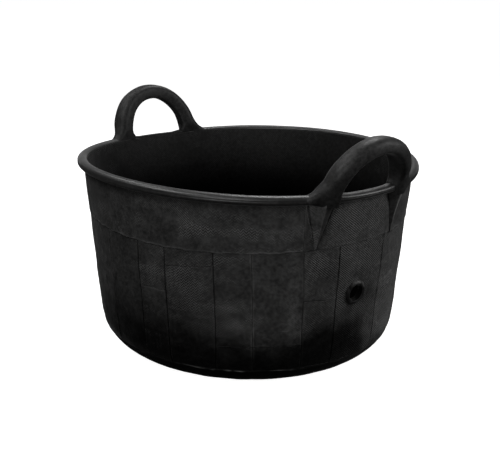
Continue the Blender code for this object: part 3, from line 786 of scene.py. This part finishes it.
sec = chaikin(BEAD, 2) / 1000
NR = 400
tr_ = np.linspace(0, 2 * math.pi, NR, endpoint=False)
TT, IX = np.meshgrid(tr_, np.arange(len(sec)), indexing="ij")
X, Z = sec[IX, 0], sec[IX, 1]
c = np.stack([np.cos(TT) * 0.26, np.sin(TT) * 0.26, 0 * TT], -1)
fat = 1 + 0.045 * waves(c, 91, 0.16, 3)
sway = 0.0004 * waves(c, 92, 0.3, 2)
xo = np.where(X > 0.0008, 0.0008 + (X - 0.0008) * fat, X)
Zz = Z * (1 + 0.03 * waves(c, 93, 0.2, 2))
P3 = warp(TT, RT - TD * (ZT - (H + Zz)) + xo, H + Zz)
P3[..., 2] += sway
# the crest sinks a little between the two feet of each grip
for tc, sink in ((0.0, 0.0012), (math.pi, 0.0030)):
    e = np.abs((TT - tc + math.pi) % (2 * math.pi) - math.pi) * RB
    P3[..., 2] -= sink * (1 - sst(e, 0.030, 0.052)) * sst(Z, -0.009, -0.004)
for tc, rise, wide in ((146.0, 0.0013, 15.0), (88.0, -0.0009, 22.0)):
    e = np.degrees(np.abs((TT - math.radians(tc) + math.pi) % (2 * math.pi) - math.pi))
    P3[..., 2] += rise * np.exp(-(e / wide) ** 2)
bead = make("rim_lip", P3.reshape(-1, 3), grid_quads(NR, len(sec), True, True),
            rubber("rim_lip", seed=41, twill=0.0, dusty=0.40, dark=0.0130, dust=0.060, rough=0.36,
                   spread=0.16, grain=0.6, spec=0.70, lump=0.2))
recalc(bead)
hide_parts("rim_bead")
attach(bead, "tub")


# ------------------------------------------------------------------- handles
def surface_nets(Fv, org, step):
    nx, ny, nz = Fv.shape
    ins = Fv < 0
    C = [(i, j, k) for i in (0, 1) for j in (0, 1) for k in (0, 1)]
    sl = lambda a, i, j, k: a[i:nx - 1 + i, j:ny - 1 + j, k:nz - 1 + k]
    cnt = sum(sl(ins, *q).astype(int) for q in C)
    act = (cnt > 0) & (cnt < 8)
    idx = -np.ones(act.shape, int)
    cells = np.argwhere(act)
    idx[act] = np.arange(len(cells))
    acc = np.zeros((len(cells), 3))
    num = np.zeros(len(cells))
    ci, cj, ck = cells.T
    for a in C:
        for ax in range(3):
            if a[ax] == 1:
                continue
            b = list(a)
            b[ax] = 1
            fa = Fv[ci + a[0], cj + a[1], ck + a[2]]
            fb = Fv[ci + b[0], cj + b[1], ck + b[2]]
            m = (fa < 0) != (fb < 0)
            w = np.where(m, fa / np.where(m, fa - fb, 1), 0)
            p = np.tile(np.array(a, float), (len(cells), 1))
            p[:, ax] += w
            acc += p * m[:, None]
            num += m
    V = (cells + acc / num[:, None]) * step + org
    quads = []
    for ax in range(3):
        o = [0, 1, 2]
        o.remove(ax)
        sl0 = [slice(None)] * 3
        sl1 = [slice(None)] * 3
        sl0[ax] = slice(0, -1)
        sl1[ax] = slice(1, None)
        ch = ins[tuple(sl0)] != ins[tuple(sl1)]
        e = np.argwhere(ch)
        e = e[(e[:, o[0]] > 0) & (e[:, o[1]] > 0) & (e[:, o[0]] < Fv.shape[o[0]] - 1) & (e[:, o[1]] < Fv.shape[o[1]] - 1)]
        def cell(d0, d1):
            q = e.copy()
            q[:, o[0]] += d0
            q[:, o[1]] += d1
            return idx[q[:, 0], q[:, 1], q[:, 2]]
        quads.append(np.stack([cell(-1, -1), cell(0, -1), cell(0, 0), cell(-1, 0)], -1))
        flip = ins[tuple(e.T)]
        if ax == 1:
            flip = ~flip
        quads[-1][flip] = quads[-1][flip][:, ::-1]
    return V, np.concatenate(quads)


def smin(a, b, k):
    h = np.clip(0.5 + 0.5 * (b - a) / k, 0, 1)
    return b * (1 - h) + a * h - k * h * (1 - h)


def smax(a, b, k):
    return -smin(-a, -b, k)


def loop_field(P, q):
    """Distance-like field of the bent grip in (s, x, h) space, metres."""
    u = np.linspace(0, math.pi, 150)
    cu, su = np.cos(u), np.sin(u)
    s = q["ws"] * np.sign(cu) * np.abs(cu) ** (2 / q["p"])
    h = q["ht"] * np.clip(su, 0, 1) ** (2 / q["p"])
    s = s + q["shift"] + q["skew"] * h / q["ht"]
    top = q["ht"]
    dn = np.linspace(-0.012, -0.0015, 8)
    s = np.concatenate([np.full(8, s[0]), s, np.full(8, s[-1])])
    h = np.concatenate([dn, h, dn[::-1]]) - 0.0026
    w = np.clip(h / top, 0, 1)
    kh = np.array([-14, 0, 10, 20, 32, 45, 58, 70.0]) / 1000
    x_in = np.interp(h, kh, np.array(q["xin"]) / 1000)
    x_out = np.interp(h, kh, np.array(q["xout"]) / 1000)
    ker = np.ones(9) / 9
    x_in = np.convolve(np.pad(x_in, 4, mode="edge"), ker, "valid")
    x_out = np.convolve(np.pad(x_out, 4, mode="edge"), ker, "valid")
    x = (x_in + x_out) / 2
    c = np.stack([s, x, h], -1)
    T = np.gradient(c, axis=0)
    T /= np.linalg.norm(T, axis=1)[:, None]
    X = np.array([0, 1.0, 0.0])
    Bv = X - T * (T @ X)[:, None]
    Bv /= np.linalg.norm(Bv, axis=1)[:, None]
    N = np.cross(T, Bv)
    out = c - np.array([0, 0, 0.015])
    out[:, 1] = 0
    N *= np.sign((N * out).sum(1))[:, None]
    a = q["a1"] + (q["a2"] - q["a1"]) * sst(w, 0.0, 0.75)
    bb = (x_out - x_in) / 2
    out_f = np.empty(len(P))
    for st in range(0, len(P), 30000):
        p = P[st:st + 30000]
        d2 = ((p[:, None, :] - c[None]) ** 2).sum(-1)
        k = d2.argmin(1)
        d = p - c[k]
        n_ = (d * N[k]).sum(1)
        b_ = (d * Bv[k]).sum(1)
        ak, bk = a[k], bb[k]
        # rounder outside, flatter on the side that faces the hand
        m = np.where(n_ > 0, np.where(b_ < 0, 3.0, q["mo"]), np.where(b_ < 0, 5.0, 4.6))
        an = np.where(n_ > 0, ak, ak * 0.93)
        r = (np.abs(n_ / an) ** m + np.abs(b_ / bk) ** m) ** (1 / m)
        out_f[st:st + 30000] = (r - 1) * np.minimum(an, bk)
    return out_f


def foot_field(P, q):
    a = np.abs(P[:, 0] - q["shift"]) - q["df"]
    x, h = P[:, 1], P[:, 2]
    hf = 0.0012 + 0.0120 * sst(a, 0.048, 0.058) * (1 - sst(a, 0.069, 0.0875))
    hf = hf - 0.004 * sst(a, 0.084, 0.096)
    xo = 0.0150 * sst(a, 0.038, 0.058) - 0.0045 * sst(a, 0.072, 0.094) + 0.002 * (1 - sst(a, 0.040, 0.052))
    xi = -0.0057 + 0.0 * a
    lo = -0.0142 + 0.0035 * sst(a, 0.076, 0.096) + 0.0028 * (1 - sst(a, 0.048, 0.060))
    xc, bx = (xo + xi) / 2, (xo - xi) / 2
    hc, bh = (hf + lo) / 2, (hf - lo) / 2
    m = 3.0
    r = (np.abs((x - xc) / bx) ** m + np.abs((h - hc) / bh) ** m) ** (1 / m)
    f = (r - 1) * np.minimum(bx, bh)
    f = smax(f, 0.0450 + 0.0075 * sst(-h, -0.002, 0.013) - a, 0.004)
    f = smax(f, a - 0.0945, 0.004)
    return f


HANDLES = {
    "near": dict(ws=0.0590, ht=0.0638, p=1.88, a1=0.0118, a2=0.0112, df=-0.0010, skew=0.0, shift=0.0,
                 turn=0.0, seed=3, mo=2.3,
                 xin=(-5.6, -5.6, -5.2, -3.6, -1.0, 2.0, 4.8, 6.2),
                 xout=(13.5, 15.0, 19.5, 24.0, 28.0, 31.8, 34.5, 35.5)),
    "far": dict(ws=0.0614, ht=0.0712, p=1.95, a1=0.0130, a2=0.0120, df=0.0, skew=-0.0004, shift=-0.0018,
                turn=math.pi, seed=8, mo=2.5,
                xin=(-5.6, -5.6, -4.6, -2.8, -0.4, 2.2, 4.8, 6.4),
                xout=(15.0, 19.5, 24.0, 27.5, 30.0, 32.5, 34.5, 35.5)),
}

grip_mats = {k: rubber("grip_" + k, seed=50 + i, twill=0.0, dusty=0.55, dark=(0.0165, 0.0125)[i],
                       dust=(0.066, 0.052)[i], rough=0.47, spread=0.20, grain=1.0, spec=0.24, lump=0.10, haze=0.8,
                       shaded=True)
             for i, k in enumerate(HANDLES)}
STEP = 0.0016
for side, q in HANDLES.items():
    gs = np.arange(-0.104, 0.1041, STEP)
    gx = np.arange(-0.012, 0.046, STEP)
    gh = np.arange(-0.018, 0.090, STEP)
    G = np.stack(np.meshgrid(gs, gx, gh, indexing="ij"), -1)
    Pg = G.reshape(-1, 3)
    f = smin(loop_field(Pg, q), foot_field(Pg, q), 0.0075)
    lim = 0.0057 - 0.0013 * (1 - sst(Pg[:, 2], -0.0085, -0.0030))
    f = smax(f, -lim - Pg[:, 1], 0.0015)
    f += 0.00035 * waves(Pg, q["seed"], 0.045, 3)
    V, Q = surface_nets(f.reshape(G.shape[:3]), np.array([gs[0], gx[0], gh[0]]), STEP)
    # relax the lattice steps a little
    nb = [np.concatenate([Q[:, i], Q[:, (i + 1) % 4]]) for i in range(4)]
    ea = np.concatenate([Q[:, i] for i in range(4)])
    eb_ = np.concatenate([Q[:, (i + 1) % 4] for i in range(4)])
    for lam in (0.5, -0.45, 0.5, -0.45, 0.4):
        S_ = np.zeros_like(V)
        cN = np.zeros(len(V))
        np.add.at(S_, ea, V[eb_])
        np.add.at(S_, eb_, V[ea])
        np.add.at(cN, ea, 1)
        np.add.at(cN, eb_, 1)
        V = V + lam * (S_ / cN[:, None] - V)
    s_, x_, h_ = V.T
    t = s_ / RB
    r = RT + TD * (H - ZT) + np.where(h_ < 0, TD * h_, 0) + x_
    W3 = warp(t, r, H + np.minimum(h_, 0.0))
    W3[:, 2] += np.maximum(h_, 0.0)
    ca, sa = math.cos(q["turn"]), math.sin(q["turn"])
    W3 = np.stack([W3[:, 0] * ca - W3[:, 1] * sa, W3[:, 0] * sa + W3[:, 1] * ca, W3[:, 2]], -1)
    # painted light on the grips: lower legs darker and tops lighter, and a painted highlight at the foot ends that
    # carries on the rim's highlight
    grip_painted_light = 0.62 + 0.43 * sst(h_, 0.002, 0.050) + 0.55 * sst(np.abs(s_), 0.078, 0.092) * (1 - sst(h_, 0.0, 0.012))
    ob = make("handle_" + side, W3, Q, grip_mats[side], shade=grip_painted_light)
    recalc(ob)
    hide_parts("handle_loop_" + side, "handle_foot_%s_a" % side, "handle_foot_%s_b" % side)
    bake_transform(ob)

# ------------------------------------------------------------------- gussets
gus_mats = [rubber("wedge_%d" % k, seed=60 + k, twill=0.5, dusty=0.55, dark=0.0260, dust=0.140,
                   rough=0.55, edge=True, shaded=True) for k in range(2)]
for side, turn in (("near", 0.0), ("far", math.pi)):
    for leg, sg in (("a", -1), ("b", 1)):
        zs_ = np.concatenate([np.linspace(H - 0.0085, 0.2135, 40), [0.2115, 0.2100]])
        cs = np.array([-1.17, -1.13, -1.09, -1.05, -1.0, -0.95, -0.86, -0.75, -0.6, -0.45, -0.3, -0.16, -0.08, 0, 0.08,
                       0.16, 0.3, 0.45, 0.6, 0.75, 0.86, 0.95, 1.0, 1.05, 1.09, 1.13, 1.17])
        ZZ, CC = np.meshgrid(zs_, cs, indexing="ij")
        if sg < 0:
            kz = (0.2100, 0.2135, 0.230, 0.250, 0.268, 0.2785)
            wid = np.interp(ZZ, kz, (0.0010, 0.0022, 0.0068, 0.0125, 0.0172, 0.0186))
            ridge = np.interp(ZZ, kz, (0.0012, 0.0018, 0.0050, 0.0088, 0.0125, 0.0140))
            tc = np.radians(np.interp(ZZ, (0.21, 0.275), (-16.3, -15.4)))
        else:
            kz = (0.2100, 0.2150, 0.230, 0.245, 0.258, 0.268, 0.2785)
            wid = np.interp(ZZ, kz, (0.0008, 0.0018, 0.0044, 0.0080, 0.0122, 0.0168, 0.0186))
            ridge = np.interp(ZZ, kz, (0.0012, 0.0017, 0.0036, 0.0062, 0.0088, 0.0115, 0.0135))
            tc = np.radians(np.interp(ZZ, (0.21, 0.275), (14.4, 13.8)))
        t = tc + (CC * wid) / RB
        ac = np.minimum(np.abs(CC), 1.0)
        hgt = 0.0003 + ridge * (1 - ac ** 1.05) ** 0.95
        flash = np.exp(-((np.abs(CC) - 1.12) / 0.035) ** 2)
        # painted shade in the crease round each wedge's edge, and painted shade and light on its faces: the left
        # wedge's right face shaded, the right wedge's left face shaded and its ridge lit
        gshade = 1 - 0.90 * np.exp(-((np.abs(CC) - 1.0) / 0.08) ** 2)
        gshade = gshade * (1.15 - 0.75 * sst(CC, -0.02, 0.10) if sg < 0 else 0.50 + 1.10 * sst(CC, -0.16, -0.04))
        hgt = hgt + 0.0006 * flash
        # painted highlight along the ridge and along the raised flash line
        lit = (0.30 if sg < 0 else 1.6) * np.exp(-((CC - (0.03 if sg < 0 else -0.04)) / 0.09) ** 2) \
            + (0.6 if sg < 0 else 0.9) * flash
        P = np.stack([CC * wid, ZZ, hgt], -1)
        hgt = hgt + 0.00025 * waves(P, 600 + sg, 0.02, 2)
        s = s_of_z(ZZ)
        F = skin_pt(t, s, 0.0007 + hgt)
        Bk = skin_pt(t, s, -0.0012 + 0 * hgt)
        V, Q = closed_pair(F, Bk)
        ca, sa = math.cos(turn), math.sin(turn)
        V = np.stack([V[:, 0] * ca - V[:, 1] * sa, V[:, 0] * sa + V[:, 1] * ca, V[:, 2]], -1)
        uvw = np.stack([t * 0.25, s, lit], -1).reshape(-1, 3)
        ob = make("wedge_%s_%s" % (side, leg), V, Q, gus_mats[0 if sg < 0 else 1],
                  uvw=np.concatenate([uvw, uvw]), shade=np.concatenate([gshade.ravel(), gshade.ravel()]))
        recalc(ob)
        # the far handle's two wedges change places under the half turn
        nodes_ = ["gusset_%s_%s" % (side, x_) for x_ in "ab"]
        mid = ob.data.vertices[len(cs) // 2].co
        best = min(nodes_, key=lambda n_: (((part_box(n_)[0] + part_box(n_)[1]) / 2) - mid).length)
        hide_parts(best)
        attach(ob, "tub")

# -------------------------------------------------------------- drain eyelet
EYE = np.array([(11.3, -5.6), (13.7, -5.6), (13.9, -5.0), (13.9, 0.2), (17.4, 0.0), (17.7, 1.4),
                (17.1, 3.2), (15.8, 4.3), (14.0, 4.6), (12.3, 4.1), (11.3, 2.8), (11.25, 0.0)])
sec = chaikin(EYE, 2) / 1000
NE = 72
a_ = np.linspace(0, 2 * math.pi, NE, endpoint=False)
AA, IX = np.meshgrid(a_, np.arange(len(sec)), indexing="ij")
rr_, ax_ = sec[IX, 0], sec[IX, 1]
cP = np.stack([np.cos(AA) * 0.02, np.sin(AA) * 0.02, ax_], -1)
lump = 1 + 0.035 * waves(cP, 17, 0.04, 2) * (ax_ > 0.0008)
rr_ = np.where(rr_ > 0.0130, 0.0130 + (rr_ - 0.0130) * (1 + 0.25 * waves(cP, 18, 0.05, 2)), rr_)
P = (np.array(HP)[None, None] + ax_[..., None] * lump[..., None] * np.array(HN)
     + rr_[..., None] * (np.cos(AA)[..., None] * np.array(HS) + np.sin(AA)[..., None] * np.array(HU)))
# painted shade, near black, down the hole; a painted highlight crescent on the upper side of the outer ring and a
# painted highlight on one inner wall of the hole
ring_shade_and_highlight = np.where(rr_ < 0.0119, 0.03, np.where(rr_ < 0.0126, 0.35, 1.0))
up = np.cos(AA - math.radians(70.0))
ring_shade_and_highlight = np.where(rr_ > 0.0126, 0.28 + 0.95 * sst(up, 0.35, 0.95) * sst(rr_, 0.0128, 0.0150), ring_shade_and_highlight)
ring_shade_and_highlight = ring_shade_and_highlight * np.where(rr_ > 0.0126, 1 + 0.5 * waves(cP, 19, 0.006, 2), 1.0)
ring_shade_and_highlight = np.where((rr_ < 0.0119) & (ax_ > -0.003), 0.03 + 0.9 * sst(-np.cos(AA), 0.5, 0.95), ring_shade_and_highlight)
eye = make("drain_ring", P.reshape(-1, 3), grid_quads(NE, len(sec), True, True),
           rubber("drain_ring", seed=71, twill=0.0, dusty=0.5, dark=0.0200, dust=0.120, rough=0.55,
                  spec=0.3, shaded=True), shade=ring_shade_and_highlight)
recalc(eye)
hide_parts("drain_eyelet")
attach(eye, "tub")

# ------------------------------------------------ hidden pieces kept from CAD
for nm, m in (("rim_hoop", wire("hoop_wire")), ("handle_core_near", cord_rope("core_rope")),
              ("handle_core_far", cord_rope("core_rope_b"))):
    ob = NODES[nm]
    ob.data.materials.clear()
    ob.data.materials.append(m)

# -------------------------------------------------------------- stage, light
fl = bpy.data.meshes.new("floor")
fl.from_pydata([(-30, -30, 0), (30, -30, 0), (30, 30, 0), (-30, 30, 0)], [], [(0, 1, 2, 3)])
floor = bpy.data.objects.new("floor", fl)
scene.collection.objects.link(floor)
fb = Build("pale_floor")
fb.put(fb.bsdf.inputs["Base Color"], fb.mix(fb.noise(3.0, 3.0), (0.86, 0.86, 0.86), (0.90, 0.90, 0.90)))
fb.bsdf.inputs["Roughness"].default_value = 0.9
fb.bsdf.inputs["Emission Color"].default_value = (1, 1, 1, 1)
fb.bsdf.inputs["Emission Strength"].default_value = 0.94
fb.bsdf.inputs["Specular IOR Level"].default_value = 0.1
fl.materials.append(fb.mat)
floor.location.z = -0.0003

floor.visible_diffuse = False
floor.visible_glossy = False

# white studio: seen as white, lighting the object from a bright ceiling that fades downwards
world = bpy.data.worlds.new("studio")
scene.world = world
world.use_nodes = True
wn = world.node_tree
wn.nodes.clear()
w_out = wn.nodes.new("ShaderNodeOutputWorld")
w_tc = wn.nodes.new("ShaderNodeTexCoord")
w_sep = wn.nodes.new("ShaderNodeSeparateXYZ")
w_map = wn.nodes.new("ShaderNodeMapRange")
w_map.inputs["From Min"].default_value = -0.15
w_map.inputs["From Max"].default_value = 0.9
w_map.inputs["To Min"].default_value = 0.0
w_map.inputs["To Max"].default_value = 0.12
w_sky = wn.nodes.new("ShaderNodeBackground")
w_white = wn.nodes.new("ShaderNodeBackground")
w_white.inputs["Strength"].default_value = 1.0
w_white.inputs["Color"].default_value = (1, 1, 1, 1)
w_lp = wn.nodes.new("ShaderNodeLightPath")
w_mix = wn.nodes.new("ShaderNodeMixShader")
wn.links.new(w_tc.outputs["Generated"], w_sep.inputs[0])
wn.links.new(w_sep.outputs["Z"], w_map.inputs["Value"])
wn.links.new(w_map.outputs["Result"], w_sky.inputs["Strength"])
wn.links.new(w_lp.outputs["Is Camera Ray"], w_mix.inputs[0])
wn.links.new(w_sky.outputs[0], w_mix.inputs[1])
wn.links.new(w_white.outputs[0], w_mix.inputs[2])
wn.links.new(w_mix.outputs[0], w_out.inputs["Surface"])


def polar(az_deg, dist, z):
    a = math.radians(az_deg)
    return (dist * math.cos(a), dist * math.sin(a), z)


def aim(ob, loc, target):
    ob.location = loc
    ob.rotation_euler = (Vector(target) - Vector(loc)).to_track_quat("-Z", "Y").to_euler()


def area(name, loc, target, size, power):
    ld = bpy.data.lights.new(name, "AREA")
    ld.shape = "RECTANGLE"
    ld.size, ld.size_y = size
    ld.energy = power
    ob = bpy.data.objects.new(name, ld)
    scene.collection.objects.link(ob)
    aim(ob, loc, target)
    return ob


# the camera stands at azimuth -37.3 degrees
area("key", polar(-110, 1.3, 1.6), (0, 0, 0.2), (0.7, 0.7), 9.0)
area("back", polar(130, 1.2, 1.8), (0, 0, 0.3), (0.6, 0.6), 12.0)
area("back_left", polar(-170, 1.3, 1.6), (0, 0, 0.3), (0.5, 0.5), 3.5)
area("front", polar(-60, 1.5, 1.5), (0, 0, 0.2), (0.8, 0.8), 3.0)
area("low_front", polar(-58, 1.9, 0.50), (0, 0, 0.27), (0.9, 0.4), 6.8)
area("side", polar(40, 1.6, 0.8), (0, 0, 0.15), (0.8, 1.0), 10.0)
rear = area("rear", polar(142.7, 1.7, 0.32), (0, 0, 0.12), (2.6, 0.6), 2.4)
rear.visible_camera = False

# -------------------------------------------------------------------- camera
F_PX, ELEV, DIST, U0, V0 = 885.0, math.radians(11.56), 5.233 * 0.260, 245.5, 153.7
TURN = math.radians(52.7)


def rot(v, k, a):
    return Matrix.Rotation(a, 3, k) @ v


fw = Vector((0, math.cos(ELEV), -math.sin(ELEV)))
right = Vector((1, 0, 0))
up = right.cross(fw)
ax_a, ay_a = math.atan2(U0 - 250, F_PX), math.atan2(225 - V0, F_PX)
fw, up = rot(fw, right, -ay_a), rot(up, right, -ay_a)
zax = Vector((0, 0, 1))
fw, up, right = rot(fw, zax, ax_a), rot(up, zax, ax_a), rot(right, zax, ax_a)
pos = Vector((0, -DIST * math.cos(ELEV), DIST * math.sin(ELEV)))
fw, up, right, pos = (rot(v, zax, TURN) for v in (fw, up, right, pos))
pos += Vector((0, 0, H))
cam = bpy.data.cameras.new("camera")
cam.sensor_fit = "HORIZONTAL"
cam.sensor_width = 36.0
cam.lens = F_PX / 500 * 36.0
cob = bpy.data.objects.new("camera", cam)
scene.collection.objects.link(cob)
mw = Matrix((right, up, -fw)).transposed().to_4x4()
mw.translation = pos
cob.matrix_world = mw
scene.camera = cob
scene.view_settings.view_transform = "Standard"
